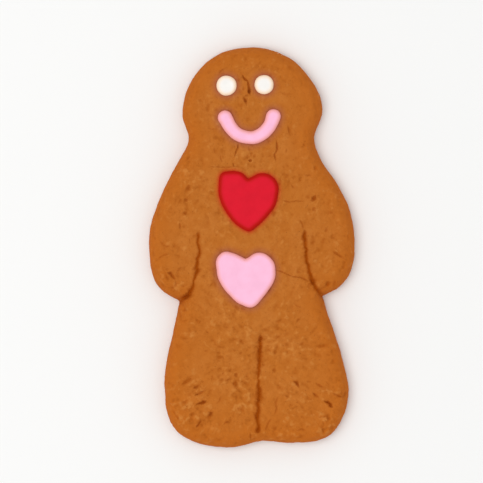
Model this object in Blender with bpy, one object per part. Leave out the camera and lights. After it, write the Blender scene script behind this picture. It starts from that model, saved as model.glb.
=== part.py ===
"""A gingerbread man biscuit with icing eyes, a piped smile and two icing hearts.

The biscuit lies on its back on the XY plane, its head towards +Y and its face up. The origin is in
the middle of its outline's box, on its underside. Left and right are the viewer's, who looks down
on the face. Blender 4.5, metres, +Z up.
"""

import math

import bmesh
import bpy
from mathutils import Vector
from mathutils.geometry import interpolate_bezier

MM = 0.001

# Driving dimensions
LENGTH = 140 * MM  # crown to the longer foot
THICKNESS = 10 * MM
GRID = LENGTH / 140  # one step of the grid that the figure is drawn on

# How finely the outline is drawn
OUTLINE_STEPS = 6  # straight pieces from one landmark to the next
HEART_STEPS = 6
ROUTE_STEPS = 5  # straight pieces from one place of an open route to the next
HANDLE_SHARE = 0.36  # a curve handle's length as a share of the way to the next landmark

# How the biscuit's side is rounded, at its foot and at its shoulder
FOOT_INSET = 1.2 * MM
FOOT_HEIGHT = 1.4 * MM
FOOT_STEPS = 3
SHOULDER_INSET = 4.6 * MM
SHOULDER_START = 3.2 * MM  # height where the side begins to curve in
SHOULDER_STEPS = 7

# The cutter's slits between the arms and the body, and between the legs
SLIT_WIDTH_TOP = 1.0 * MM
SLIT_WIDTH_FLOOR = 0.35 * MM
SLIT_FLOOR = 3.8 * MM  # height of the slit's floor
SLIT_END_PINCH = 0.35  # a slit's ends are this share of its width

# Icing
ICING_GAP = 0.3 * MM
EYE_HEIGHT = 1.7 * MM
EYE_RIM = 0.35 * MM  # height of the widest ring
EYE_TUCK = 0.15 * MM  # how far the foot is tucked in
EYE_SEGMENTS = 32
EYE_STEPS = 6
SMILE_WIDTH = 4.5 * MM  # at its middle
SMILE_SWELL = 0.12  # how much wider it is at its ends, as a share
SMILE_HEIGHT = 1.7 * MM
SMILE_END_STEPS = 5  # sections in a round end
SMILE_SIDES = 8  # flat faces across the bead
SMILE_END_RISE = 0.35  # the height of the very end as a share of the whole
HEART_HEIGHT = 1.8 * MM
HEART_UPRIGHT = 0.6 * MM  # height of the heart's upright side
HEART_TUCK = 0.15 * MM
HEART_EDGE = 1.1 * MM  # how far in the rounded edge reaches
HEART_EDGE_STEPS = 4

# The outline's landmarks in grid steps, clockwise from the crown: name, x, y, and whether it is a
# sharp corner. The two sides differ, as the dough spreads unevenly in the oven.
OUTLINE = (
    ("crown", -2.5, 70.0, False),
    ("temple_right", 18.0, 62.0, False),
    ("cheek_right", 24.5, 49.0, False),
    ("neck_right", 22.0, 36.5, False),
    ("collar_right", 24.0, 31.0, False),
    ("shoulder_right", 29.5, 22.5, False),
    ("upper_arm_right", 34.5, 12.0, False),
    ("elbow_right", 36.0, 2.0, False),
    ("hand_right", 31.0, -13.5, False),
    ("armpit_right", 24.5, -17.0, True),
    ("hip_right", 26.0, -22.0, False),
    ("thigh_right", 31.5, -39.0, False),
    ("ankle_right", 33.5, -54.0, False),
    ("toe_right", 27.5, -65.5, False),
    ("sole_right", 13.5, -68.5, False),
    ("crotch", 3.0, -68.0, False),
    ("sole_left", -8.0, -70.0, False),
    ("toe_left", -28.0, -62.0, False),
    ("ankle_left", -30.5, -51.0, False),
    ("hip_left", -27.0, -27.0, False),
    ("armpit_left", -25.4, -18.9, True),
    ("hand_left", -32.0, -14.5, False),
    ("elbow_left", -36.0, 0.0, False),
    ("upper_arm_left", -33.0, 15.5, False),
    ("shoulder_left", -29.0, 24.0, False),
    ("collar_left", -24.5, 32.5, False),
    ("neck_left", -22.5, 36.5, False),
    ("cheek_left", -24.5, 47.0, False),
    ("temple_left", -19.0, 61.5, False),
)

# Each slit's route in grid steps, from its inner end. An arm's slit runs out through its armpit.
SLITS = {
    "left_arm": ((-19.0, 5.3), (-18.6, 0.0), (-19.2, -7.0), (-20.8, -14.5), (-23.2, -17.4), (-28.5, -20.0)),
    "right_arm": ((18.2, 6.0), (18.8, -1.0), (20.0, -7.5), (21.6, -13.5), (23.4, -15.8), (27.0, -19.0)),
    "legs": ((3.0, -30.6), (2.5, -40.0), (2.3, -50.0), (2.0, -58.0), (2.2, -65.0)),
}

# The icing's places and sizes in grid steps
EYES = {
    "eye_left": ((-8.9, 56.5), 3.5),
    "eye_right": ((4.2, 56.85), 3.35),
}
SMILE = ((-9.4, 45.3), (-7.6, 42.1), (-5.0, 39.5), (-0.6, 38.3), (3.1, 39.4), (6.1, 42.4), (7.5, 45.8))
HEARTS = {
    "heart_red": (
        ("cleft", -1.35, 24.1, True),
        ("lobe_right", 3.4, 26.05, False),
        ("shoulder_right", 8.5, 23.4, False),
        ("side_right", 9.0, 17.2, False),
        ("flank_right", 4.8, 10.0, False),
        ("point_right", 1.8, 7.2, False),
        ("tip", -1.0, 5.5, False),
        ("point_left", -3.9, 6.7, False),
        ("flank_left", -8.6, 11.4, False),
        ("side_left", -11.4, 17.0, False),
        ("brow_left", -11.75, 22.2, False),
        ("shoulder_left", -10.9, 25.75, False),
        ("lobe_left", -7.6, 26.75, False),
        ("inner_left", -3.5, 26.0, False),
    ),
    "heart_pink": (
        ("cleft", -2.3, -4.0, True),
        ("lobe_right", 2.8, -1.85, False),
        ("shoulder_right", 7.0, -4.2, False),
        ("side_right", 8.2, -9.2, False),
        ("flank_right", 4.4, -16.8, False),
        ("tip", -0.6, -21.0, False),
        ("point_left", -3.8, -20.0, False),
        ("flank_left", -8.2, -16.4, False),
        ("side_left", -12.4, -8.0, False),
        ("shoulder_left", -11.9, -3.1, False),
        ("lobe_left", -9.5, -1.5, False),
        ("inner_left", -6.3, -2.1, False),
    ),
}

# Colours in linear RGB, each with a roughness
GINGERBREAD = ((0.50, 0.14, 0.022), 0.85)
WHITE_ICING = ((0.92, 0.88, 0.80), 0.45)
PINK_ICING = ((0.95, 0.50, 0.68), 0.45)
RED_ICING = ((0.66, 0.012, 0.03), 0.4)


def clear_scene():
    """Removes every object, such as the startup cube."""
    for obj in list(bpy.data.objects):
        bpy.data.objects.remove(obj)


def make_material(name, look):
    """A Principled material of one colour and roughness."""
    colour, roughness = look
    made = bpy.data.materials.new(name)
    made.use_nodes = True
    shader = made.node_tree.nodes["Principled BSDF"]
    shader.inputs["Base Color"].default_value = (*colour, 1.0)
    shader.inputs["Roughness"].default_value = roughness
    shader.inputs["Metallic"].default_value = 0.0
    made.diffuse_color = (*colour, 1.0)
    return made


def make_object(name, body):
    """Turns a bmesh into an object, smooth where its faces meet softly."""
    bmesh.ops.recalc_face_normals(body, faces=body.faces)
    mesh = bpy.data.meshes.new(name)
    body.to_mesh(mesh)
    body.free()
    mesh.shade_smooth()
    mesh.set_sharp_from_angle(angle=math.radians(50))
    obj = bpy.data.objects.new(name, mesh)
    bpy.context.scene.collection.objects.link(obj)
    return obj


def smooth_loop(landmarks, steps):
    """The closed smooth curve through the landmarks, as 2D points. A corner keeps its angle."""
    points = [Vector((x, y)) * GRID for _, x, y, _ in landmarks]
    corners = [corner for _, _, _, corner in landmarks]
    count = len(points)
    ways = [points[(i + 1) % count] - points[i] for i in range(count)]

    def tangent(i, way):
        if corners[i]:
            return way.normalized()
        before, after = ways[i - 1], ways[i]
        return (after.normalized() * before.length + before.normalized() * after.length).normalized()

    loop = []
    for i, way in enumerate(ways):
        j = (i + 1) % count
        handle = way.length * HANDLE_SHARE
        knee_out = points[i] + tangent(i, way) * handle
        knee_in = points[j] - tangent(j, way) * handle
        loop += interpolate_bezier(points[i], knee_out, knee_in, points[j], steps + 1)[:-1]
    return loop


def smooth_route(places):
    """The open smooth curve through a few places, as 2D points."""
    points = [Vector(place) * GRID for place in places]
    first = points[0] * 2 - points[1]
    last = points[-1] * 2 - points[-2]
    padded = [first, *points, last]
    route = []
    for before, start, end, after in zip(padded, padded[1:], padded[2:], padded[3:]):
        knee_out = start + (end - before) / 6
        knee_in = end - (after - start) / 6
        route += interpolate_bezier(start, knee_out, knee_in, end, ROUTE_STEPS + 1)[:-1]
    return [*route, points[-1]]


def sideways(places, i, closed):
    """The unit direction to the right of a line of points at one of them."""
    if closed:
        along = places[(i + 1) % len(places)] - places[i - 1]
    else:
        along = places[min(i + 1, len(places) - 1)] - places[max(i - 1, 0)]
    return Vector((along.y, -along.x)).normalized()


def bridge(body, first, second):
    """Faces between two rings with the same number of corners."""
    count = len(first)
    for k in range(count):
        m = (k + 1) % count
        body.faces.new((first[k], first[m], second[m], second[k]))


def cap(body, rings):
    """Closes the first and the last of the rings with one face each."""
    body.faces.new(rings[0])
    body.faces.new(reversed(rings[-1]))


def stack_outline(loop, profile):
    """A closed body: the clockwise outline set in and raised to each (inset, height) in turn."""
    body = bmesh.new()
    inward = [sideways(loop, i, closed=True) for i in range(len(loop))]
    rings = []
    for inset, height in profile:
        places = [point + way * inset for point, way in zip(loop, inward)]
        rings.append([body.verts.new((p.x, p.y, height)) for p in places])
    for lower, upper in zip(rings, rings[1:]):
        bridge(body, lower, upper)
    cap(body, rings)
    return body


def foot_profile(inset, height, steps):
    """(inset, height) pairs of a quarter ellipse that swells out from the ground."""
    turns = [math.pi / 2 * i / steps for i in range(steps + 1)]
    return [(inset * (1 - math.sin(t)), height * (1 - math.cos(t))) for t in turns]


def shoulder_profile(inset, base, height, steps):
    """(inset, height) pairs of a quarter ellipse that closes in from an upright side."""
    turns = [math.pi / 2 * i / steps for i in range(steps + 1)]
    return [(inset * (1 - math.cos(t)), base + height * math.sin(t)) for t in turns]


def middle(loop):
    """The middle of the box around a loop."""
    xs = [p.x for p in loop]
    ys = [p.y for p in loop]
    return Vector(((min(xs) + max(xs)) / 2, (min(ys) + max(ys)) / 2))


def make_slit_cutter(name, route):
    """A thin blade along a slit's route, wider at the top."""
    above = THICKNESS + 2 * MM
    blade = bmesh.new()
    sections = []
    for i, point in enumerate(route):
        side = sideways(route, i, closed=False)
        share = SLIT_END_PINCH if i in (0, len(route) - 1) else 1.0
        floor_reach = side * (SLIT_WIDTH_FLOOR / 2 * share)
        top_reach = side * (SLIT_WIDTH_TOP / 2 * share)
        corners = (
            (point - floor_reach, SLIT_FLOOR),
            (point + floor_reach, SLIT_FLOOR),
            (point + top_reach, above),
            (point - top_reach, above),
        )
        sections.append([blade.verts.new((p.x, p.y, height)) for p, height in corners])
    for first, second in zip(sections, sections[1:]):
        bridge(blade, first, second)
    cap(blade, sections)
    cutter = make_object(name, blade)
    cutter.hide_render = True
    cutter.display_type = "WIRE"
    return cutter


def make_gingerbread(outline, centre):
    """The biscuit: the figure's outline with a rounded side, cut by the three slits."""
    rise = THICKNESS - SHOULDER_START
    profile = foot_profile(FOOT_INSET, FOOT_HEIGHT, FOOT_STEPS)[:-1]
    profile += shoulder_profile(SHOULDER_INSET, SHOULDER_START, rise, SHOULDER_STEPS)
    biscuit = make_object("gingerbread", stack_outline(outline, profile))
    biscuit.data.materials.append(make_material("gingerbread", GINGERBREAD))
    for name, places in SLITS.items():
        route = [p - centre for p in smooth_route(places)]
        cut = biscuit.modifiers.new(f"slit_{name}", "BOOLEAN")
        cut.operation = "DIFFERENCE"
        cut.object = make_slit_cutter(f"cutter_{name}", route)


def make_eye(name, place, radius, centre):
    """A round drop of white icing: a dome on a small upright rim."""
    circle = []
    for k in range(EYE_SEGMENTS):
        turn = -2 * math.pi * k / EYE_SEGMENTS
        circle.append(Vector((math.cos(turn), math.sin(turn))) * radius * GRID)
    profile = [(EYE_TUCK, 0.0)]
    for i in range(EYE_STEPS):
        turn = math.pi / 2 * i / EYE_STEPS
        inset = radius * GRID * (1 - math.cos(turn))
        profile.append((inset, EYE_RIM + (EYE_HEIGHT - EYE_RIM) * math.sin(turn)))
    eye = make_object(name, stack_outline(circle, profile))
    eye.data.materials.append(make_material(name, WHITE_ICING))
    spot = Vector(place) * GRID - centre
    eye.location = (spot.x, spot.y, THICKNESS + ICING_GAP)


def make_mouth(centre):
    """The piped smile: a half-round bead along its curve, widest at its round ends."""
    route = [p - centre for p in smooth_route(SMILE)]
    half = SMILE_WIDTH / 2
    end_half = half * (1 + SMILE_SWELL)
    lead_in = (route[0] - route[1]).normalized()
    lead_out = (route[-1] - route[-2]).normalized()
    turns = [math.pi / 2 * (k + 1) / SMILE_END_STEPS for k in range(SMILE_END_STEPS - 1)]
    line = [route[0] + lead_in * end_half * math.cos(t) for t in turns]
    line += route
    line += [route[-1] + lead_out * end_half * math.cos(t) for t in reversed(turns)]
    shares = [2 * i / (len(route) - 1) - 1 for i in range(len(route))]  # -1 to 1 along the route
    reaches = [end_half * math.sin(t) for t in turns]
    reaches += [half + (end_half - half) * share**2 for share in shares]
    reaches += [end_half * math.sin(t) for t in reversed(turns)]

    bead = bmesh.new()
    base = THICKNESS + ICING_GAP
    arches = []
    for i, (point, reach) in enumerate(zip(line, reaches)):
        side = sideways(line, i, closed=False)
        rise = SMILE_HEIGHT * (SMILE_END_RISE + (1 - SMILE_END_RISE) * reach / end_half)
        arch = []
        for k in range(SMILE_SIDES + 1):
            turn = math.pi * k / SMILE_SIDES
            p = point + side * (reach * math.cos(turn))
            arch.append(bead.verts.new((p.x, p.y, base + rise * math.sin(turn))))
        arches.append(arch)
    for first, second in zip(arches, arches[1:]):
        bridge(bead, first, second)
    cap(bead, arches)
    mouth = make_object("mouth", bead)
    mouth.data.materials.append(make_material("mouth", PINK_ICING))


def make_heart(name, landmarks, look, centre):
    """A flat icing heart with a rounded edge."""
    base = THICKNESS + ICING_GAP
    outline = [p - centre for p in smooth_loop(landmarks, HEART_STEPS)]
    rise = HEART_HEIGHT - HEART_UPRIGHT
    profile = [(HEART_TUCK, base)]
    profile += shoulder_profile(HEART_EDGE, base + HEART_UPRIGHT, rise, HEART_EDGE_STEPS)
    heart = make_object(name, stack_outline(outline, profile))
    heart.data.materials.append(make_material(name, look))


def main():
    clear_scene()
    outline = smooth_loop(OUTLINE, OUTLINE_STEPS)
    centre = middle(outline)
    make_gingerbread([p - centre for p in outline], centre)
    for name, (place, radius) in EYES.items():
        make_eye(name, place, radius, centre)
    make_mouth(centre)
    make_heart("heart_red", HEARTS["heart_red"], RED_ICING, centre)
    make_heart("heart_pink", HEARTS["heart_pink"], PINK_ICING, centre)


main()
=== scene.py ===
"""The looks of the gingerbread man: a baked, cracked biscuit with icing eyes, smile and two hearts.

Every outline and slit is read from the CAD solids. This script adds the uneven baked surface, the
crevices, cracks and pits, the soft icing, the materials, the light and the camera. Metres, +Z up.
"""

import math

import bmesh
import bpy
import numpy as np
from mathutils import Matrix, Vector, noise
from mathutils.geometry import delaunay_2d_cdt
from mathutils.kdtree import KDTree


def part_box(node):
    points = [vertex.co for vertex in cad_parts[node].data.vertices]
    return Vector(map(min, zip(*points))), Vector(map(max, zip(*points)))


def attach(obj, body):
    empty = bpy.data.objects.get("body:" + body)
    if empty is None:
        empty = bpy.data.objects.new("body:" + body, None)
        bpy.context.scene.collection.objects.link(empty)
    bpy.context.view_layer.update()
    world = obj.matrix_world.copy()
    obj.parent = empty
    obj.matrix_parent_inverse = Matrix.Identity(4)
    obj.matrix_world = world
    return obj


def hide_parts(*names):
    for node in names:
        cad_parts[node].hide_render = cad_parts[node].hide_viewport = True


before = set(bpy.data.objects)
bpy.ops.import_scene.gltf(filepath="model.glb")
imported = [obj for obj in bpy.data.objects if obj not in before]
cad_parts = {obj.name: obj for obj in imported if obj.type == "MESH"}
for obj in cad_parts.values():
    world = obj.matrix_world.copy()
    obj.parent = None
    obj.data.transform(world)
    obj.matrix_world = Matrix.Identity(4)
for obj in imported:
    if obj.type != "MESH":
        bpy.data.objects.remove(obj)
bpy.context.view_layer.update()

MM = 0.001
SEED = 7
RNG = np.random.default_rng(SEED)
noise.seed_set(SEED)  # vector noise takes its offsets from the clock otherwise

# The biscuit's cross-section, which follows the CAD solid
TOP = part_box("gingerbread")[1].z
FOOT_INSET = 1.2 * MM
FOOT_HEIGHT = 1.4 * MM
SHOULDER_INSET = 4.6 * MM
SHOULDER_START = 3.2 * MM
RING_INSET = 1.7 * MM  # the side's rings reach this far in, and the free mesh fills the rest
LEVEL = 0.999  # the upright part of a level face's normal is more than this
SLIT_FLOORS_BELOW = 0.8 * TOP
CROTCH = np.array([0.0, -38.0]) * MM

# Mesh sizes
STATION = 0.42 * MM  # between points along the outline
SPACING = 0.38 * MM  # of the grid on the top
UNDER_SPACING = 1.1 * MM
GROOVE_STATION = 0.3 * MM  # between points along a slit or a crack
GROOVE_GAP = 0.09 * MM  # the least distance between the points of grooves
RING_GAP = 0.25 * MM  # between the side's last ring and the free mesh's points
SLIT_POINTS = 40  # along a slit's centre line as it is read
CURVE_STEPS = 8  # pieces of a smooth outline from one CAD point to the next
CORNER_TURN = math.radians(40)  # a sharper turn in an outline is a corner
OUTLINE_SOFTENING = 0.3 * MM  # how far the outline's corners are rounded
INWARD_SOFTENING = 1.6 * MM  # over which the way in from the outline is evened out
ROWS_PER_SPACING = 1.155  # rows of a triangular grid in one spacing

# Noise: how fast its finer octaves fade, and how much finer each is than the one before
NOISE_FADE = 0.8
NOISE_STEP = 2.1

# Slits
SLIT_HALF_WIDTH = 1.02 * MM
SLIT_DEPTH = 1.2 * MM
SLIT_RIM_DROP = 0.4 * MM
SLIT_RIM_REACH = 1.2 * MM

# Slits and cracks
GROOVE_END = 1.2 * MM  # over which a groove runs out at its ends
GROOVE_SWAY = 0.5  # how far it wanders, in half widths
GROOVE_WOBBLE = 0.6  # how much its width varies
GROOVE_CUSP = 1.4  # how sharply it narrows towards its bottom
SLIT_SHADE = (0.75, 0.12 * MM)  # how far a slit's painted shade reaches: in half widths, and beyond that
CRACK_SHADE = (0.6, 0.1 * MM)
DARKEST_DEPTH = 1.2 * MM  # a groove of this depth or more gets painted shade as dark as any

# Relief of the crust: typical heights where it is roughest, and their sizes across
BROAD_HEIGHT, BROAD_SIZE = 0.28 * MM, 17 * MM
GENTLE_HEIGHT, GENTLE_SIZE = 0.1 * MM, 5 * MM
CRUMB_HEIGHT = 0.08 * MM
LUMP_SIZE = 2.6 * MM
GRAIN_SIZE = 1.1 * MM
SWELL_HEIGHT = 0.11 * MM
TEAR_DEPTH = 0.18 * MM
TEAR_SIZE = 1.9 * MM
TEAR_REACH = 1.7 * MM  # how far each way a tear is drawn out
TEAR_START, TEAR_RANGE = 1.2, 1.4  # noise where a tear opens, and how much more makes it full
# painted shade in the tears
TEAR_SHADE = 0.4
PATCH_SIZE = 8 * MM  # of rougher and smoother patches
SIDE_CALM = 0.35  # how rough the side is, against the top
SIDE_REACH = 3 * MM  # how far in from the outline the top gets as rough as it is
HOLLOW_SIZE = 30 * MM  # of the hollows in the underside
SHOULDER_FADE = 2.5 * MM  # height over which what marks the top fades out down the shoulder

# How far the looks of the edge reach in from the outline, and the painted contact shadow of icing out
# from it
EDGE_REACH = 7 * MM
# painted light that lightens the sloping shoulder reaches this far in
RIM_REACH = 2.2 * MM
CONTACT_SHADE_REACH = 1.2 * MM
BLEED_AND_SHADE_REACH = 0.6 * MM

# Icing: name, CAD node, material slot, then in mm its height, the width of its rounded edge and the
# spacing of its mesh, then its seed, and in mm how much smaller it is than the node's outline
ICING = (
    ("eye_left_icing", "eye_left", "white_icing", 1.5, 1.6, 0.2, 20, 0.0),
    ("eye_right_icing", "eye_right", "white_icing", 1.5, 1.6, 0.2, 20, 0.0),
    ("smile_icing", "mouth", "pink_icing", 1.4, 1.7, 0.26, 30, 0.0),
    ("heart_red_icing", "heart_red", "red_icing", 1.6, 1.8, 0.3, 40, 0.15),
    ("heart_pink_icing", "heart_pink", "pink_icing", 1.6, 1.8, 0.3, 40, 0.0),
)
PALE_ICING = ("eye_left", "eye_right", "mouth", "heart_pink")  # it has painted contact shadow on the crust round it
ICING_SOFTENING = 0.2 * MM  # how far its outline's corners are rounded
ICING_SWAY = 0.12 * MM  # how far its outline wanders
ICING_TUCK = 0.12 * MM  # how far in its lowest ring is
ICING_SINK = 0.6 * MM  # and how far down in the crust
ICING_UNEVENNESS = 0.05 * MM
ICING_RIM = 1.1 * MM  # how far in its rim's painted light and shade reach
CROWN_START = 0.25  # share of its height at its very edge
CROWN_ROUND, CROWN_RISE = 2.2, 0.6  # powers that shape its rounded edge
CROWN_RINGS = 0.55  # share of the rounded edge that rings follow, before the free mesh

# Icing materials: colour and the rim's colour as 8-bit display values, the values of the rim
# attribute where that colour starts and is full, and the specular level
# The rim's colour is painted light: painted shade on the red heart's rounded edge, and warm light
# bounced from the crust painted on the pale icing's edge.
ICING_LOOKS = {
    "white_icing": ((246, 243, 238), (252, 224, 192), (0.06, 1.0), 0.2),
    "pink_icing": ((251, 189, 217), (244, 168, 164), (0.1, 1.0), 0.2),
    "red_icing": ((217, 22, 44), (184, 20, 12), (0.02, 0.6), 0.08),
}

# The camera: its width of view at a height half way up the biscuit's shoulder, and where it looks
FIELD = 169 * MM
FIELD_HEIGHT = 6.5 * MM
CAMERA_X, CAMERA_Y = -3.67 * MM, 2.03 * MM
LENS = 500
SENSOR = 36

# The light and the floor, in metres and watts
KEY_PLACE = (-0.3, 0.0, 1.15)
KEY_SIZE = 0.7
KEY_POWER = 5.35
WORLD_STRENGTH = 0.74
FLOOR_HALF = 1.5
FLOOR_COLOUR = (0.89, 0.89, 0.88, 1.0)


def mesh_of(node):
    """The CAD node's mesh as a bmesh with its doubled corners joined."""
    body = bmesh.new()
    body.from_mesh(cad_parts[node].data)
    bmesh.ops.remove_doubles(body, verts=body.verts, dist=1e-6)
    return body


def is_flat(face):
    """True if the face lies level."""
    return abs(face.normal.z) > LEVEL


def read_outline(node):
    """The node's widest level ring, counter-clockwise, as an array of 2D points."""
    body = mesh_of(node)
    level = max(body.verts, key=lambda v: v.co.x).co.z
    links = {}
    for edge in body.edges:
        first, second = edge.verts
        if abs(first.co.z - level) > 1e-6 or abs(second.co.z - level) > 1e-6:
            continue
        if all(is_flat(face) for face in edge.link_faces):
            continue
        links.setdefault(first, []).append(second)
        links.setdefault(second, []).append(first)
    start = next(iter(links))
    ring = [start]
    previous, here = None, start
    while True:
        onward = next(v for v in links[here] if v is not previous)
        if onward is start:
            break
        ring.append(onward)
        previous, here = here, onward
    points = np.array([v.co.xy for v in ring])
    body.free()
    following = np.roll(points, -1, axis=0)
    area = np.sum(points[:, 0] * following[:, 1] - following[:, 0] * points[:, 1])
    return points if area > 0 else points[::-1]


def read_slits(node):
    """The slits' centre lines, each from its upper end down.

    They come from the slits' floors inside the CAD solid."""
    body = mesh_of(node)
    level = [face for face in body.faces if face.normal.z > LEVEL]
    floors = {face for face in level if face.calc_center_median().z < SLIT_FLOORS_BELOW}
    routes = []
    while floors:
        patch = [floors.pop()]
        for face in patch:
            for edge in face.edges:
                for other in edge.link_faces:
                    if other in floors:
                        floors.remove(other)
                        patch.append(other)
        corners = {tuple(v.co.xy) for face in patch for v in face.verts}
        corners = np.array(sorted(corners, key=lambda corner: -corner[1]))
        heights = np.linspace(corners[0, 1], corners[-1, 1], SLIT_POINTS)
        across = np.interp(-heights, -corners[:, 1], corners[:, 0])
        across = np.convolve(np.pad(across, 2, mode="edge"), np.ones(5) / 5, mode="valid")
        routes.append(np.stack([across, heights], axis=1))
    body.free()
    return sorted(routes, key=lambda route: route[0, 0])


def smooth_closed(values, reach):
    """Smooths a closed row of values over `reach` neighbours each way."""
    waves = np.fft.fftfreq(len(values))
    damping = np.exp(-2 * (math.pi * waves * reach) ** 2)
    return np.fft.ifft(np.fft.fft(values, axis=0) * damping[:, None], axis=0).real


def curve_through(points):
    """A closed smooth curve through the CAD outline's points, which keeps the outline's corners."""
    ways = np.roll(points, -1, axis=0) - points
    lengths = np.linalg.norm(ways, axis=1)[:, None]
    after = ways / lengths
    before = np.roll(after, 1, axis=0)
    middle = before * lengths + after * np.roll(lengths, 1, axis=0)
    middle /= np.linalg.norm(middle, axis=1)[:, None]
    sharp = ((before * after).sum(axis=1) < math.cos(CORNER_TURN))[:, None]
    leaving = (np.where(sharp, after, middle) * lengths)[:, None, :]
    arriving = (np.roll(np.where(sharp, before, middle), -1, axis=0) * lengths)[:, None, :]
    start, end = points[:, None, :], np.roll(points, -1, axis=0)[:, None, :]
    t = np.linspace(0, 1, CURVE_STEPS, endpoint=False)[None, :, None]
    curve = start * (1 + 2 * t) * (1 - t) ** 2 + end * t**2 * (3 - 2 * t)
    curve = curve + leaving * t * (1 - t) ** 2 - arriving * t**2 * (1 - t)
    return curve.reshape(-1, 2)


def run_lengths(route):
    """The distance along a route at each of its points."""
    return np.concatenate([[0], np.cumsum(np.linalg.norm(np.diff(route, axis=0), axis=1))])


def resample(points, spacing, soften):
    """A closed outline at even spacing, its corners softened over that distance."""
    points = curve_through(points)
    closed = np.vstack([points, points[:1]])
    runs = run_lengths(closed)
    count = round(runs[-1] / spacing)
    places = np.linspace(0, runs[-1], count, endpoint=False)
    even = np.stack([np.interp(places, runs, closed[:, k]) for k in range(2)], axis=1)
    return smooth_closed(even, soften / spacing)


def inward_normals(outline, soften):
    """The unit direction into a counter-clockwise outline at each point, evened out along it."""
    along = np.roll(outline, -1, axis=0) - np.roll(outline, 1, axis=0)
    inward = np.stack([-along[:, 1], along[:, 0]], axis=1)
    inward /= np.linalg.norm(inward, axis=1)[:, None]
    inward = smooth_closed(inward, soften)
    return inward / np.linalg.norm(inward, axis=1)[:, None]


def inset_of(points, outline, inward):
    """How far inside the outline each 2D point lies; outside is negative."""
    tree = KDTree(len(outline))
    for i, (x, y) in enumerate(outline):
        tree.insert((x, y, 0), i)
    tree.balance()
    insets = np.empty(len(points))
    for k, (x, y) in enumerate(points):
        _, i, gap = tree.find((x, y, 0))
        side = (x - outline[i, 0]) * inward[i, 0] + (y - outline[i, 1]) * inward[i, 1]
        insets[k] = math.copysign(gap, side)
    return insets


def distance_to(points, route):
    """Each 2D point's distance to a route, and how far along it the nearest place is, in metres."""
    ways = np.diff(route, axis=0)
    lengths = np.linalg.norm(ways, axis=1)
    runs = run_lengths(route)
    nearest = np.full(len(points), np.inf)
    along = np.zeros(len(points))
    for start, way, length, run in zip(route, ways, lengths, runs):
        offset = points - start
        share = np.clip(offset @ way / length**2, 0, 1)
        gap = np.linalg.norm(offset - share[:, None] * way, axis=1)
        nearer = gap < nearest
        nearest[nearer] = gap[nearer]
        along[nearer] = run + share[nearer] * length
    return nearest, along


def ripple(points, size, seed, octaves=2):
    """Smooth random values, about -1 to 1, that change over about `size` metres."""
    shift = Vector((seed * 13.7, seed * 7.3, seed * 3.1))
    scale = 1 / size
    places = (Vector(p) * scale + shift for p in points)
    return np.array([noise.fractal(place, NOISE_FADE, NOISE_STEP, octaves) for place in places])


def flat_ripple(points, size, seed, octaves=2):
    """The same for 2D points."""
    return ripple(np.column_stack([points, np.zeros(len(points))]), size, seed, octaves)


def hex_grid(low, high, spacing, ratio):
    """A triangular grid over a box, and which points the grid `ratio` times coarser has too."""
    first = math.floor(low[1] / spacing * ROWS_PER_SPACING)
    last = math.ceil(high[1] / spacing * ROWS_PER_SPACING)
    rows = np.arange(first, last + 1)
    rise = spacing * math.sqrt(3) / 2
    reach = math.ceil(max(abs(low[0]), abs(high[0])) / spacing + np.abs(rows).max() / 2) + 1
    columns = np.arange(-reach, reach + 1)
    column, row = np.meshgrid(columns, rows)
    points = np.stack([(column + row / 2) * spacing, row * rise], axis=-1).reshape(-1, 2)
    coarse = ((column % ratio == 0) & (row % ratio == 0)).ravel()
    within = (points[:, 0] > low[0]) & (points[:, 0] < high[0])
    return points[within], coarse[within]


def triangulate(ring, inner):
    """Triangles over a ring and the points inside it, as indices into ring + inner."""
    points = [Vector(p) for p in np.vstack([ring, inner])]
    places, _, faces, _, _, owners = delaunay_2d_cdt(points, [], [range(len(ring))], 0, 1e-9, True)
    if len(places) != len(points):
        raise RuntimeError("two points of the triangulation fell together")
    return np.array([face for face, owner in zip(faces, owners) if owner])


def build_mesh(name, vertices, quads, triangles):
    """A smooth-shaded object from arrays of corners."""
    faces = [tuple(q) for q in quads.tolist()] + [tuple(t) for t in triangles.tolist()]
    mesh = bpy.data.meshes.new(name)
    mesh.from_pydata(vertices.tolist(), [], faces)
    mesh.shade_smooth()
    obj = bpy.data.objects.new(name, mesh)
    bpy.context.scene.collection.objects.link(obj)
    return obj


def normals_of(obj):
    """The vertex normals as an array."""
    values = np.empty(len(obj.data.vertices) * 3, np.float32)
    obj.data.vertex_normals.foreach_get("vector", values)
    return values.reshape(-1, 3).astype(float)


def set_places(obj, places):
    obj.data.vertices.foreach_set("co", places.astype(np.float32).ravel())
    obj.data.update()


def set_attribute(obj, name, values):
    layer = obj.data.attributes.new(name, "FLOAT", "POINT")
    layer.data.foreach_set("value", np.clip(values, 0, 1).astype(np.float32))


# ---------------------------------------------------------------- marks in the biscuit's top

# Half width of each slit along it, from its upper end down, against SLIT_HALF_WIDTH
SLIT_WIDTHS = (
    (0.65, 0.5, 0.5, 0.65, 0.75, 0.95, 0.75, 0.35, 0.8, 1.3, 1.3, 1.0),
    (1.2, 0.8, 1.15, 1.1, 0.5, 0.3, 1.05, 1.35, 0.7, 1.05, 0.6, 1.5),
    (0.85, 0.95, 0.75, 0.75, 0.7, 0.75, 0.75, 1.2, 0.65, 0.6, 0.6),
)
SLIT_RUN_ON = (2.5, 0.8, 2.8)  # how far each runs on past its floor in the CAD solid, in mm

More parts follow.
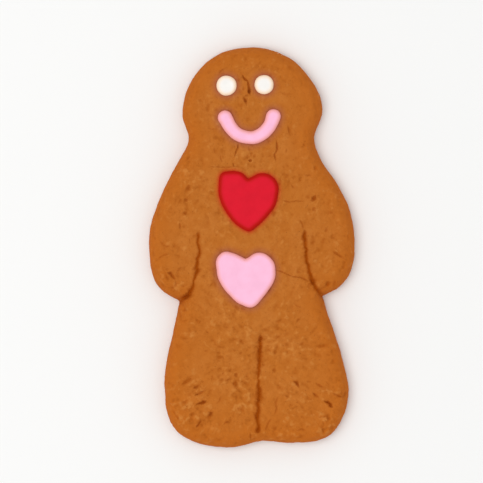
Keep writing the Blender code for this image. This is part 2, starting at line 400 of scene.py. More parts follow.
# Cracks: places along each, half width and depth, all in mm, and the width along it against that
EVEN = (1.0, 1.0)
CRACKS = (
    # The forehead and the cheeks
    (
        ((-3.5, 60.2), (-2.8, 59.2), (-1.5, 57.7), (-1.1, 56.0), (-1.0, 54.4), (-0.8, 53.2)),
        0.55, 0.9, (0.8, 1.0, 0.6, 0.8, 1.4, 0.6),
    ),
    (((-0.9, 53.4), (-2.0, 53.0), (-2.9, 52.5)), 0.36, 0.35, EVEN),
    (((-2.9, 52.7), (-2.3, 51.6), (-1.9, 50.2)), 0.65, 0.8, (0.7, 1.2, 0.8)),
    (((-11.6, 60.8), (-10.9, 61.6), (-9.8, 62.5)), 0.45, 0.4, EVEN),
    (((9.6, 54.2), (11.6, 53.5), (14.2, 53.6)), 0.3, 0.2, EVEN),
    (((12.4, 42.4), (12.7, 41.0), (13.1, 39.4)), 0.42, 0.35, EVEN),
    (((-15.6, 42.0), (-14.4, 41.2), (-12.4, 41.4)), 0.35, 0.2, EVEN),
    # The neck and the chest
    (((-4.9, 36.2), (-5.0, 34.8), (-5.8, 33.2), (-5.9, 31.6)), 0.42, 0.6, (1.2, 0.9, 0.7)),
    (((-6.7, 29.4), (-6.4, 28.0)), 0.5, 0.7, EVEN),
    (((-11.0, 32.4), (-10.9, 31.0), (-10.4, 29.8)), 0.42, 0.35, EVEN),
    (((-1.2, 35.0), (-0.9, 33.4)), 0.36, 0.3, EVEN),
    (((-13.2, 35.0), (-13.0, 33.4)), 0.36, 0.25, EVEN),
    (
        ((8.4, 37.2), (8.6, 35.6), (8.8, 34.0), (7.8, 32.4), (8.2, 30.4)),
        0.5, 0.6, (0.7, 1.3, 0.8, 0.9, 0.6),
    ),
    (((12.1, 34.4), (11.8, 33.0)), 0.45, 0.45, EVEN),
    (((-14.5, 28.2), (-9.5, 27.9), (-4.5, 28.2)), 0.3, 0.25, EVEN),
    (((11.0, 16.3), (12.8, 15.9), (15.0, 16.1), (18.2, 16.2)), 0.34, 0.3, (1.3, 0.9, 0.8)),
    (((13.4, 22.4), (14.0, 21.4), (14.9, 20.4)), 0.4, 0.25, EVEN),
    (((18.2, 25.6), (19.2, 24.9), (20.4, 25.0)), 0.45, 0.25, EVEN),
    # The arms and the hands
    (((16.8, 9.6), (17.5, 8.2), (17.9, 6.6)), 0.42, 0.4, EVEN),
    (
        ((8.6, -8.0), (11.0, -8.8), (13.6, -10.1), (17.0, -10.5), (20.2, -12.1)),
        0.42, 0.45, (0.8, 0.7, 0.9, 1.0),
    ),
    (((28.4, -1.3), (29.4, -2.1), (30.6, -2.9), (32.8, -4.0)), 0.5, 0.45, EVEN),
    (((27.4, 3.4), (29.6, 3.2)), 0.4, 0.25, EVEN),
    (((33.6, 4.8), (33.8, 3.4), (33.5, 2.0)), 0.5, 0.3, EVEN),
    (((14.4, -19.4), (15.6, -20.4), (17.2, -21.0)), 0.36, 0.25, EVEN),
    (((-25.2, 8.6), (-25.1, 6.4)), 0.5, 0.45, EVEN),
    (((-21.9, 3.6), (-21.7, 1.4)), 0.36, 0.25, EVEN),
    (((-32.0, 2.0), (-31.2, 1.0), (-30.0, 0.2), (-28.4, 0.4)), 0.5, 0.3, EVEN),
    (((-33.2, -4.4), (-32.2, -3.4), (-30.6, -2.6), (-29.0, -2.6)), 0.45, 0.3, EVEN),
    (((-29.6, -8.6), (-28.4, -9.2), (-27.5, -10.2), (-26.7, -11.3)), 0.75, 0.75, (0.6, 1.3, 0.9, 0.7)),
    (((-26.8, -11.5), (-26.9, -12.8), (-27.6, -14.0), (-28.2, -15.0)), 0.85, 0.45, (0.9, 1.2, 0.8)),
    (((-26.2, -8.6), (-25.4, -7.6), (-24.4, -7.0)), 0.55, 0.35, EVEN),
    (((-25.2, -13.4), (-24.0, -13.6), (-22.6, -13.2)), 0.42, 0.25, EVEN),
    (((-31.9, -12.8), (-31.2, -13.8), (-30.4, -14.6)), 0.5, 0.4, EVEN),
    # The hips and the thighs
    (((-24.4, -22.6), (-23.6, -22.0), (-22.4, -22.2)), 0.55, 0.6, EVEN),
    (((-24.2, -25.8), (-22.6, -25.4)), 0.45, 0.4, EVEN),
    (((-16.2, -29.2), (-15.2, -30.2)), 0.5, 0.45, EVEN),
    (((-16.8, -36.0), (-15.4, -36.6)), 0.42, 0.3, EVEN),
    (((13.6, -25.6), (15.2, -26.4)), 0.55, 0.25, EVEN),
    # The left foot
    (((-20.6, -49.5), (-19.4, -48.7), (-18.2, -48.0)), 0.6, 0.55, (0.7, 1.2, 0.8)),
    (((-19.9, -51.9), (-18.0, -50.7), (-16.2, -50.1)), 0.6, 0.6, (0.7, 1.2, 0.7)),
    (((-15.2, -50.2), (-13.8, -49.7)), 0.45, 0.35, EVEN),
    (((-19.6, -54.9), (-18.0, -54.3), (-16.0, -53.8)), 0.65, 1.0, (0.7, 1.0, 1.5)),
    (((-15.2, -58.8), (-14.4, -58.2), (-13.4, -57.4)), 0.6, 0.5, (0.8, 1.3, 0.6)),
    (((-19.6, -62.9), (-18.5, -62.0), (-17.7, -60.2)), 0.55, 0.6, (1.2, 1.0, 0.6)),
    (((-9.8, -61.7), (-9.0, -61.0), (-7.8, -61.2)), 0.45, 0.45, EVEN),
    (((-10.2, -44.8), (-10.0, -43.0)), 0.42, 0.3, EVEN),
    (((-14.0, -46.6), (-13.8, -44.8)), 0.42, 0.3, EVEN),
    (((-12.4, -54.6), (-11.2, -53.6), (-11.0, -52.2)), 0.42, 0.3, EVEN),
    (((-9.4, -46.4), (-8.2, -46.2)), 0.4, 0.25, EVEN),
    (((-5.4, -56.8), (-4.2, -56.0), (-3.6, -57.0)), 0.42, 0.3, EVEN),
    (((-24.6, -53.4), (-23.4, -54.4), (-22.6, -53.2)), 0.45, 0.3, EVEN),
    (((-28.2, -56.6), (-26.6, -58.6), (-25.2, -60.6)), 0.5, 0.35, EVEN),
    (((-0.6, -64.9), (-0.5, -66.6), (-0.1, -68.0)), 0.42, 0.45, EVEN),
    # The right foot
    (((14.4, -46.7), (15.7, -47.6), (16.8, -48.9)), 0.65, 0.85, (0.7, 1.3, 0.7)),
    (((13.8, -45.0), (14.6, -46.0)), 0.42, 0.4, EVEN),
    (((15.0, -41.6), (15.4, -43.2)), 0.42, 0.3, EVEN),
    (((25.2, -53.8), (26.6, -54.4), (28.2, -55.9)), 0.7, 1.05, (0.8, 1.1, 1.3)),
    (((21.0, -50.6), (22.0, -51.6), (23.4, -52.6)), 0.6, 0.55, (0.8, 1.2, 0.8)),
    (((22.4, -47.4), (23.4, -48.2), (25.0, -48.9)), 0.55, 0.5, EVEN),
    (((19.2, -46.8), (20.8, -47.0)), 0.42, 0.3, EVEN),
    (((26.0, -46.8), (26.8, -48.0)), 0.42, 0.3, EVEN),
    (((28.2, -51.0), (29.8, -51.8), (32.2, -52.4)), 0.5, 0.5, EVEN),
    (((9.0, -52.4), (8.2, -54.4), (8.6, -56.4), (7.8, -58.4)), 0.5, 0.35, EVEN),
    (((6.6, -60.0), (5.4, -62.0), (4.8, -64.0)), 0.45, 0.35, EVEN),
    (((20.6, -57.2), (21.4, -58.8)), 0.45, 0.3, EVEN),
    (((22.6, -59.0), (24.6, -59.4), (26.4, -58.8)), 0.42, 0.3, EVEN),
    (((24.4, -63.6), (25.2, -62.0)), 0.45, 0.35, EVEN),
    (((15.6, -64.0), (17.4, -63.6), (18.8, -64.2)), 0.45, 0.35, EVEN),
)

# Pits: place, half length and half width in mm, turn in degrees and depth in mm, which is negative
# for a bump
PITS = (
    ((-2.9, 55.4), 0.8, 0.6, 60, 0.4),
    ((-1.0, 54.3), 1.1, 0.7, 80, 0.9),
    ((-2.2, 51.4), 0.9, 0.65, 60, 0.5),
    ((-0.6, 30.3), 0.8, 0.6, 70, 1.0),
    ((-14.0, 19.0), 1.0, 0.7, -45, 0.5),
    ((-22.3, 20.6), 1.2, 0.8, 85, 0.5),
    ((-23.0, 16.4), 0.9, 0.7, 10, 0.45),
    ((-22.2, 18.2), 1.1, 0.7, 40, -0.3),
    ((-24.0, 12.6), 0.9, 0.7, 60, -0.25),
    ((21.6, 17.0), 1.3, 0.9, 60, 0.9),
    ((21.8, 13.3), 0.9, 0.7, 80, 0.7),
    ((22.2, 27.6), 1.1, 0.7, 80, 0.45),
    ((27.6, 12.2), 1.1, 0.7, 0, 0.45),
    ((19.6, 11.6), 0.9, 0.8, 0, -0.25),
    ((22.0, -4.8), 1.1, 0.9, 0, -0.45),
    ((16.2, -8.6), 0.7, 0.6, 0, 0.4),
    ((26.4, -12.9), 1.3, 0.85, 85, 0.9),
    ((28.8, -12.6), 1.1, 0.7, 80, 0.6),
    ((26.0, 6.2), 0.9, 0.6, 80, 0.35),
    ((20.0, -13.4), 0.9, 0.6, 80, 0.4),
    ((-24.3, -12.6), 1.4, 0.8, 10, -0.35),
    ((-22.9, -17.2), 1.5, 0.9, 35, 1.2),
    ((24.0, -15.8), 1.6, 0.9, -50, 1.0),
    ((11.8, -30.2), 0.9, 0.8, 0, 0.4),
    ((17.0, -17.6), 0.9, 0.7, 0, -0.25),
    ((-12.6, -18.0), 0.8, 0.7, 0, -0.25),
    ((-21.6, -52.0), 1.1, 0.8, 20, -0.3),
    ((-23.8, -56.4), 1.3, 0.9, 30, -0.3),
    ((-25.2, -60.2), 1.2, 0.9, 60, -0.3),
    ((-18.8, -46.6), 1.4, 0.7, 35, -0.3),
    ((-7.0, -57.2), 1.0, 0.8, 20, -0.2),
    ((24.8, -50.2), 1.4, 0.6, 10, -0.3),
    ((18.2, -51.4), 1.2, 0.7, -40, -0.25),
    ((25.4, -60.4), 1.3, 0.7, 20, -0.3),
    ((-18.4, -49.8), 1.5, 0.6, 33, -0.25),
    ((-17.6, -52.4), 1.8, 0.8, 25, -0.3),
    ((-14.6, -55.8), 1.2, 0.9, 60, -0.3),
    ((-8.2, -45.4), 1.2, 0.7, 80, -0.2),
    ((-1.4, -46.6), 1.2, 0.6, 30, -0.2),
    ((14.0, -47.8), 1.1, 0.7, -40, -0.25),
    ((23.0, -50.0), 1.6, 0.6, -30, -0.3),
    ((20.2, -53.6), 1.1, 0.8, -20, -0.2),
    ((26.6, -50.0), 1.4, 0.6, -20, -0.3),
    ((-30.2, -10.0), 1.7, 1.0, 15, -0.4),
    ((-26.8, 0.0), 1.1, 0.6, 20, -0.25),
    ((29.4, -1.2), 1.6, 0.6, -40, -0.3),
    ((-14.6, 19.9), 1.0, 0.6, 30, -0.3),
)


def roughness_at(points):
    """How rough the top is at each 2D point: least on the head, most on the hands and feet."""
    heights = np.array([-70, -50, -38, -25, 0, 30, 45, 70]) * MM
    levels = (1.0, 1.0, 0.75, 0.75, 0.7, 0.75, 0.65, 0.65)
    down = np.interp(points[:, 1], heights, levels)
    out = np.clip((np.abs(points[:, 0]) - 22 * MM) / (8 * MM), 0, 1)
    hands = out * np.exp(-(((points[:, 1] + 10 * MM) / (9 * MM)) ** 2))
    return down + (1 - down) * hands


def tear_ways(points):
    """The way that the crust tears at each 2D point: the longer, the more drawn out a tear is.

    It is outwards from the crotch on the feet and hands, and upright on the chest and the face."""
    offsets = points - CROTCH
    away = np.linalg.norm(offsets, axis=1)[:, None]
    low = np.clip((20 * MM - points[:, 1]) / (24 * MM), 0, 1)[:, None]
    ways = offsets / away * low * np.clip(away / (25 * MM), 0.1, 1) + np.array([0.0, 0.6]) * (1 - low)
    swing = 0.8 * flat_ripple(points, 9 * MM, seed=14)
    turned = np.stack([-ways[:, 1], ways[:, 0]], axis=1)
    ways = ways * np.cos(swing)[:, None] + turned * np.sin(swing)[:, None]
    return ways * np.clip(0.7 + 0.8 * flat_ripple(points, 6 * MM, seed=16), 0.1, 1.2)[:, None]


def tears(places):
    """Short shallow tears in the crust, 0 to 1 deep, and the swell of the crust between them."""
    ways = tear_ways(places[:, :2])
    stretched = np.zeros(len(places))
    for step in np.linspace(-TEAR_REACH, TEAR_REACH, 7):
        moved = places.copy()
        moved[:, :2] += ways * step
        stretched += ripple(moved, TEAR_SIZE, seed=15)
    lengths = np.linalg.norm(ways, axis=1)
    steps = np.linspace(0.1, 1.2, 6)
    spreads = [stretched[np.abs(lengths - step) < 0.11].std() for step in steps]
    stretched /= np.interp(lengths, steps, spreads)  # as strong where drawn out as elsewhere
    return np.clip((-stretched - TEAR_START) / TEAR_RANGE, 0, 1), stretched


class Groove:
    """A crease along a route: a cusp in cross-section, between lips that round over towards it."""

    def __init__(self, places, half, depth, lip, widths):
        places = np.array(places)
        runs = run_lengths(places)
        self.length = runs[-1]
        count = max(3, round(self.length / GROOVE_STATION) + 1)
        stations = np.linspace(0, self.length, count)
        route = np.stack([np.interp(stations, runs, places[:, k]) for k in range(2)], axis=1)
        along = np.gradient(route, axis=0)
        along /= np.linalg.norm(along, axis=1)[:, None]
        self.aside = np.stack([-along[:, 1], along[:, 0]], axis=1)
        sway = flat_ripple(route, 2.2 * MM, seed=11)
        self.route = route + self.aside * (sway * half * GROOVE_SWAY)[:, None]
        self.half, self.depth, self.lip, self.widths = half, depth, lip, widths

    def rows(self):
        """Mesh points that follow the groove, closer together towards its middle."""
        offsets = np.array([0.0, 0.3, 0.7, 1.1, 1.6]) * self.half
        rows = [self.route + self.aside * sign * offset for offset in offsets for sign in (1, -1)]
        return np.vstack(rows[1:])

    def cut(self, points, heights, painted_shade, wobble):
        """Lowers the heights of the points that it reaches, and gives them painted shade in the
        crevice.
        """
        reach = self.half * 2.5 + (3 * SLIT_RIM_REACH if self.lip else 0)
        low, high = self.route.min(0) - reach, self.route.max(0) + reach
        close = np.flatnonzero(np.all((points > low) & (points < high), axis=1))
        if not len(close):
            return
        gap, along = distance_to(points[close], self.route)
        ends = np.clip(np.minimum(along, self.length - along) / GROOVE_END + 0.1, 0, 1) ** 0.5
        stations = np.linspace(0, 1, len(self.widths))
        factor = np.interp(along / self.length, stations, self.widths) * ends
        half = np.maximum(self.half * factor * (1 + GROOVE_WOBBLE * wobble[close]), 0.05 * MM)
        shape = np.clip(1 - gap / half, 0, 1)
        lips = self.lip * ends * np.exp(-np.maximum(gap - half, 0) / SLIT_RIM_REACH)
        fall = self.depth * np.minimum(factor, 1.2) * shape**GROOVE_CUSP
        heights[close] -= lips + fall
        strength = min(1, self.depth / DARKEST_DEPTH)
        share, beyond = SLIT_SHADE if self.lip else CRACK_SHADE
        spread = share * half + beyond
        shade = strength * ends * np.exp(-((gap / spread) ** 2))
        painted_shade[close] = np.maximum(painted_shade[close], shade)


class Crevices:
    """All that cuts into the top: slits, cracks and pits."""

    def __init__(self):
        self.grooves = []
        for route, widths, onward in zip(read_slits("gingerbread"), SLIT_WIDTHS, SLIT_RUN_ON):
            way = route[-1] - route[-4]
            end = route[-1] + way / np.linalg.norm(way) * onward * MM
            route = np.vstack([route, end])
            self.grooves.append(Groove(route, SLIT_HALF_WIDTH, SLIT_DEPTH, SLIT_RIM_DROP, widths))
        for places, half, depth, widths in CRACKS:
            self.grooves.append(Groove(np.array(places) * MM, half * MM, depth * MM, 0.0, widths))

    def near_pit(self, points):
        """Which 2D points lie where a pit needs a finer mesh."""
        close = np.zeros(len(points), bool)
        for place, length, _, _, _ in PITS:
            close |= np.linalg.norm(points - np.array(place) * MM, axis=1) < (length + 0.4) * MM
        return close

    def cut(self, points, heights):
        """Cuts all crevices into the heights.

        Returns the painted shade of each point in a crevice, and the painted highlight of each point
        on a bump."""
        painted_shade = np.zeros(len(points))
        bump_highlight = np.zeros(len(points))
        wobble = flat_ripple(points, 1.1 * MM, seed=3, octaves=3)
        for groove in self.grooves:
            groove.cut(points, heights, painted_shade, wobble)
        for place, length, width, turn, depth in PITS:
            offset = points - np.array(place) * MM
            close = np.abs(offset).max(axis=1) < (length + 1) * MM
            offset = offset[close]
            a = math.radians(turn)
            along = (offset[:, 0] * math.cos(a) + offset[:, 1] * math.sin(a)) / (length * MM)
            across = (offset[:, 1] * math.cos(a) - offset[:, 0] * math.sin(a)) / (width * MM)
            reach = np.hypot(along, across) * (1 + 0.5 * wobble[close])
            shape = np.clip(1 - reach, 0, 1)
            heights[close] -= depth * MM * shape
            # painted shade in a pit, and painted highlight on a bump
            painted_shade[close] = np.maximum(painted_shade[close], np.clip(0.8 * depth, 0, 1) * shape**0.7)
            bump_highlight[close] = np.maximum(bump_highlight[close], np.clip(-3 * depth, 0, 1) * shape**0.7)
        return painted_shade, bump_highlight


# ---------------------------------------------------------------- the biscuit


def side_profile():
    """(inset, height) of each ring up the biscuit's side, from the underside to the top's start."""
    rings = []
    for turn in np.linspace(0, math.pi / 2, 5):
        rings.append((FOOT_INSET * (1 - math.sin(turn)), FOOT_HEIGHT * (1 - math.cos(turn))))
    for height in np.linspace(FOOT_HEIGHT, SHOULDER_START, 5)[1:]:
        rings.append((0.0, height))
    last = math.acos(1 - RING_INSET / SHOULDER_INSET)
    for turn in np.linspace(0, last, 12)[1:]:
        inset = SHOULDER_INSET * (1 - math.cos(turn))
        rings.append((inset, shoulder_height(inset)))
    return rings


def shoulder_height(inset):
    """The height of the smooth top at a distance inside the outline."""
    reach = np.clip(1 - inset / SHOULDER_INSET, 0, 1)
    return SHOULDER_START + (TOP - SHOULDER_START) * np.sqrt(1 - reach**2)


class PointSet:
    """2D points for a triangulation, none closer to an earlier one than the gap given with it."""

    CELL = 0.4 * MM

    def __init__(self):
        self.points = []
        self.cells = {}

    def add(self, points, gap):
        for x, y in points.tolist():
            column, row = math.floor(x / self.CELL), math.floor(y / self.CELL)
            block = [(column + i, row + j) for i in (-1, 0, 1) for j in (-1, 0, 1)]
            others = [self.points[k] for cell in block for k in self.cells.get(cell, ())]
            if all(math.hypot(x - other[0], y - other[1]) >= gap for other in others):
                self.cells.setdefault((column, row), []).append(len(self.points))
                self.points.append((x, y))


def top_points(top_ring, low, high, inside, crevices):
    """The free points of the top: rows along grooves, a fine grid at pits, a plain one elsewhere."""
    chosen = PointSet()
    chosen.add(top_ring, 0)
    fixed = len(chosen.points)
    for groove in crevices.grooves:
        rows = groove.rows()
        chosen.add(rows[inside(rows)], GROOVE_GAP)
    grid, coarse = hex_grid(low, high, SPACING / 2, 2)
    fine = grid[crevices.near_pit(grid) & ~coarse]
    grid = grid[coarse]
    grid = grid + RNG.uniform(-0.12, 0.12, grid.shape) * SPACING
    chosen.add(grid[inside(grid)], 0.55 * SPACING)
    chosen.add(fine[inside(fine)], 0.3 * SPACING)
    return np.array(chosen.points[fixed:])


def make_gingerbread(outline, inward, crevices):
    """The biscuit: rings round the side, a free mesh over the top and a plainer one underneath."""
    count = len(outline)
    rings = [
        np.column_stack([outline + inward * inset, np.full(count, height)])
        for inset, height in side_profile()
    ]
    bottom_ring, top_ring = rings[0][:, :2], rings[-1][:, :2]
    low, high = outline.min(0), outline.max(0)

    def inside(points):
        return inset_of(points, outline, inward) > RING_INSET + RING_GAP

    top = top_points(top_ring, low, high, inside, crevices)
    under, _ = hex_grid(low, high, UNDER_SPACING, 1)
    under = under[inset_of(under, outline, inward) > FOOT_INSET + UNDER_SPACING * 0.6]
    under = under + RNG.uniform(-0.2, 0.2, under.shape) * UNDER_SPACING

    top_places = np.column_stack([top, shoulder_height(inset_of(top, outline, inward))])
    vertices = np.vstack([*rings, top_places, np.column_stack([under, np.zeros(len(under))])])
    last, inner = (len(rings) - 1) * count, len(rings) * count
    under_start = inner + len(top)
    top_faces = triangulate(top_ring, top)
    top_faces = np.where(top_faces < count, top_faces + last, top_faces - count + inner)
    under_faces = triangulate(bottom_ring, under)[:, ::-1]
    under_faces = np.where(under_faces < count, under_faces, under_faces - count + under_start)
    faces = np.vstack([top_faces, under_faces])
    obj = build_mesh("gingerbread_baked", vertices, ring_quads(count, len(rings)), faces)

    is_under = np.zeros(len(vertices), bool)
    is_under[:count] = True
    is_under[under_start:] = True
    bake_surface(obj, vertices, outline, inward, crevices, is_under)
    return obj


def ring_quads(count, levels):
    """The quads between equal rings of points, each ring above or inside the one before."""
    step = np.arange(count)
    following = (step + 1) % count
    strips = []
    for k in range(levels - 1):
        lower, upper = k * count, (k + 1) * count
        corners = (lower + step, lower + following, upper + following, upper + step)
        strips.append(np.stack(corners, axis=1))
    return np.vstack(strips)


def broad_relief(places):
    """The unevenness that icing follows too, in metres."""
    broad = BROAD_HEIGHT * ripple(places, BROAD_SIZE, seed=1)
    return broad + GENTLE_HEIGHT * ripple(places, GENTLE_SIZE, seed=2)


def crumb_relief(places):
    """The fine unevenness of the crust: mean 0, and about -2 in a crease to 2 on a lump."""
    lumps = billows(places, LUMP_SIZE, seed=5, octaves=3)
    grain = ripple(places, GRAIN_SIZE, seed=9)
    relief = lumps / lumps.std() + 0.8 * grain / grain.std()
    return (relief - relief.mean()) / relief.std()


def billows(places, size, seed, octaves):
    """Rounded lumps of about `size` metres between sharp creases, 0 in a crease."""
    shift = Vector((seed * 5.3, seed * 9.1, seed * 2.7))
    values = []
    for place in places:
        q = Vector(place) / size + shift
        q += 0.5 * noise.noise_vector(q * 0.8)
        values.append(
            noise.turbulence(q, octaves, True, amplitude_scale=0.6, frequency_scale=NOISE_STEP)
        )
    return np.array(values)


def icing_contact_shade(points, nodes, reach):
    """How strongly pieces of icing cast painted contact shadow on the crust: 1 under them, and less
    further out.
    """
    contact_shade = np.zeros(len(points))
    for node in nodes:
        outline = resample(read_outline(node), 0.5 * MM, 0.3 * MM)
        low, high = outline.min(0) - 4 * reach, outline.max(0) + 4 * reach
        close = np.flatnonzero(np.all((points > low) & (points < high), axis=1))
        outside = np.maximum(-inset_of(points[close], outline, inward_normals(outline, 1.0)), 0)
        contact_shade[close] = np.maximum(contact_shade[close], np.exp(-outside / reach))
    return contact_shade


def bake_surface(obj, places, outline, inward, crevices, is_under):
    """Gives the smooth body its swells, lumps, crevices and browning, with painted shade in its
    crevices and round its icing, painted highlight on its lumps and painted light on its shoulder.
    """
    normals = normals_of(obj)
    insets = inset_of(places[:, :2], outline, inward)
    lift = np.clip(places[:, 2] / FOOT_HEIGHT, 0, 1)  # nothing moves on the underside's rim
    patchy = np.clip(0.9 + 0.7 * ripple(places, PATCH_SIZE, seed=12), 0.5, 1.3)
    rough = roughness_at(places[:, :2]) * patchy
    calm = SIDE_CALM + (1 - SIDE_CALM) * np.clip(insets / SIDE_REACH, 0, 1)
    crumb = crumb_relief(places) * rough
    torn, swell = tears(places)
    torn *= rough
    swell *= rough
    fine = CRUMB_HEIGHT * crumb + SWELL_HEIGHT * swell - TEAR_DEPTH * torn
    moved = places + normals * ((broad_relief(places) + fine * calm) * lift)[:, None]

    heights = moved[:, 2].copy()
    painted_shade, bump_highlight = crevices.cut(places[:, :2], heights)
    # the tears get painted shade too
    painted_shade = np.maximum(painted_shade, TEAR_SHADE * torn)
    topside = np.clip((places[:, 2] - SHOULDER_START) / SHOULDER_FADE, 0, 1)
    moved[:, 2] += (heights - moved[:, 2]) * topside
    painted_shade *= topside

    hollow = ripple(places, HOLLOW_SIZE, seed=8)
    under_relief = np.clip(0.15 + 0.15 * hollow + 0.1 * crumb, 0, 0.5) * MM
    flat = is_under & (places[:, 2] <= 0)
    flat[: len(outline)] = False
    moved[flat, 2] = under_relief[flat]
    set_places(obj, moved)

    # painted contact shadow round the icing; round the red heart it also carries the heart's red
    contact_shade = icing_contact_shade(places[:, :2], PALE_ICING, CONTACT_SHADE_REACH)
    bleed_and_shade = icing_contact_shade(places[:, :2], ("heart_red",), BLEED_AND_SHADE_REACH)
    set_attribute(obj, "contact_shade", contact_shade * topside)
    set_attribute(obj, "bleed_and_shade", bleed_and_shade * topside)
    set_attribute(obj, "edge", np.exp(-np.maximum(insets, 0) / EDGE_REACH))
    # painted shade in slits, cracks, pits and tears
    set_attribute(obj, "crevice_shade", painted_shade)
    # lighter on lumps and bumps and darker in creases: painted highlight and painted shade that follow
    # the relief
    set_attribute(obj, "crumb", 0.5 + 0.25 * (0.6 * crumb + 0.5 * swell) + 0.4 * bump_highlight)
    # painted light on the sloping shoulder
    set_attribute(obj, "rim", np.exp(-np.maximum(insets, 0) / RIM_REACH))
    set_attribute(obj, "underside", is_under.astype(float))


# ---------------------------------------------------------------- icing


def surface_height(points, outline, inward):
    """The height of the biscuit's top without its fine relief, for icing to lie on."""
    heights = shoulder_height(inset_of(points, outline, inward))
    return heights + broad_relief(np.column_stack([points, heights]))


def make_icing(name, node, height, edge, ground, spacing, seed, shrink):
    """Icing over a CAD node's outline, less `shrink`: a rounded edge, nearly flat in the middle."""
    outline = resample(read_outline(node), spacing, ICING_SOFTENING)
    along = flat_ripple(outline, 4 * MM, seed)
    inward = inward_normals(outline, 1.0)
    outline = outline + inward * (shrink + ICING_SWAY * along)[:, None]
    inward = inward_normals(outline, 1.5)
    count = len(outline)
    turns = np.linspace(0, math.pi / 2, 8)
    insets = [ICING_TUCK, 0.0] + [edge * (1 - math.cos(t)) * CROWN_RINGS for t in turns[1:5]]
    grid, _ = hex_grid(outline.min(0), outline.max(0), spacing, 1)
    depth = inset_of(grid, outline, inward)
    keep = depth > insets[-1] + spacing * 0.5
    grid, depth = grid[keep], depth[keep]
    grid = grid + RNG.uniform(-0.15, 0.15, grid.shape) * spacing

    def crown(inset):
        reach = np.clip(1 - inset / edge, 0, 1)
        rise = (1 - reach**CROWN_ROUND) ** CROWN_RISE
        return height * (CROWN_START + (1 - CROWN_START) * rise)

    lying = ground(outline)
    rings = []
    for k, inset in enumerate(insets):
        rise = -ICING_SINK if k == 0 else crown(inset)
        rings.append(np.column_stack([outline + inward * inset, lying + rise]))
    uneven = ICING_UNEVENNESS * flat_ripple(grid, 3.5 * MM, seed + 1)
    top = np.column_stack([grid, ground(grid) + crown(depth) + uneven])
    vertices = np.vstack([*rings, top])
    faces = triangulate(rings[-1][:, :2], top[:, :2])
    last, inner = (len(rings) - 1) * count, len(rings) * count
    faces = np.where(faces < count, faces + last, faces - count + inner)
    base = triangulate(rings[0][:, :2], np.empty((0, 2)))[:, ::-1]
    obj = build_mesh(name, vertices, ring_quads(count, len(rings)), np.vstack([faces, base]))
    all_insets = np.concatenate([np.repeat(insets, count), depth])
    # where the rim's painted light and shade lie
    set_attribute(obj, "rim", np.exp(-((all_insets / ICING_RIM) ** 2)))
    return obj


# ---------------------------------------------------------------- materials


def new_material(name):
    made = bpy.data.materials.new(name)
    made.use_nodes = True
    return made, made.node_tree.nodes["Principled BSDF"]


class Graph:
    """Short names for the shader nodes that the materials use."""

    def __init__(self, tree):
        self.tree = tree
        self.place = self.add("ShaderNodeTexCoord").outputs["Object"]

    def add(self, kind, **settings):
        made = self.tree.nodes.new(kind)
        for key, value in settings.items():
            setattr(made, key, value)
        return made

    def link(self, source, target):
        self.tree.links.new(source, target)

    def noise(self, size, detail, rough, warp=0.0):
        """Noise that changes over about `size` metres."""
        made = self.add("ShaderNodeTexNoise")
        self.link(self.place, made.inputs["Vector"])
        made.inputs["Scale"].default_value = 1 / size
        made.inputs["Detail"].default_value = detail
        made.inputs["Roughness"].default_value = rough
        made.inputs["Distortion"].default_value = warp
        return made.outputs["Fac"]

    def cells(self, size):
        """The distance to the nearest of points that lie about `size` metres apart, against that."""
        made = self.add("ShaderNodeTexVoronoi")
        self.link(self.place, made.inputs["Vector"])
        made.inputs["Scale"].default_value = 1 / size
        return made.outputs["Distance"]

    def across(self, axis):
        """The place along one of the axes, in metres."""
        made = self.add("ShaderNodeSeparateXYZ")
        self.link(self.place, made.inputs["Vector"])
        return made.outputs[axis]

    def attribute(self, name):
        return self.add("ShaderNodeAttribute", attribute_name=name).outputs["Fac"]

    def band(self, value, start, end, low=0.0, high=1.0):
        """Maps start..end to low..high, clamped."""
        made = self.add("ShaderNodeMapRange")
        self.link(value, made.inputs["Value"])
        limits = {"From Min": start, "From Max": end, "To Min": low, "To Max": high}
        for key, number in limits.items():
            made.inputs[key].default_value = number
        return made.outputs["Result"]

    def times(self, first, second):
        made = self.add("ShaderNodeMath", operation="MULTIPLY")
        self.link(first, made.inputs[0])
        self.link(second, made.inputs[1])
        return made.outputs[0]

    def mix(self, share, first, second):
        """Mixes two colours, each given as red, green and blue or as a socket."""
        made = self.add("ShaderNodeMix", data_type="RGBA")
        self.link(share, made.inputs[0])
        for key, value in ((6, first), (7, second)):
            if isinstance(value, tuple):
                made.inputs[key].default_value = (*value, 1.0)
            else:
                self.link(value, made.inputs[key])
        return made.outputs[2]

    def bump(self, height, distance, strength, normal=None):
        made = self.add("ShaderNodeBump")
        self.link(height, made.inputs["Height"])
        made.inputs["Distance"].default_value = distance
        made.inputs["Strength"].default_value = strength
        if normal is not None:
            self.link(normal, made.inputs["Normal"])
        return made.outputs["Normal"]


def srgb(red, green, blue):
    """Linear colour from 8-bit display values."""
    def one(value):
        value /= 255
        return value / 12.92 if value <= 0.04045 else ((value + 0.055) / 1.055) ** 2.4
    return (one(red), one(green), one(blue))


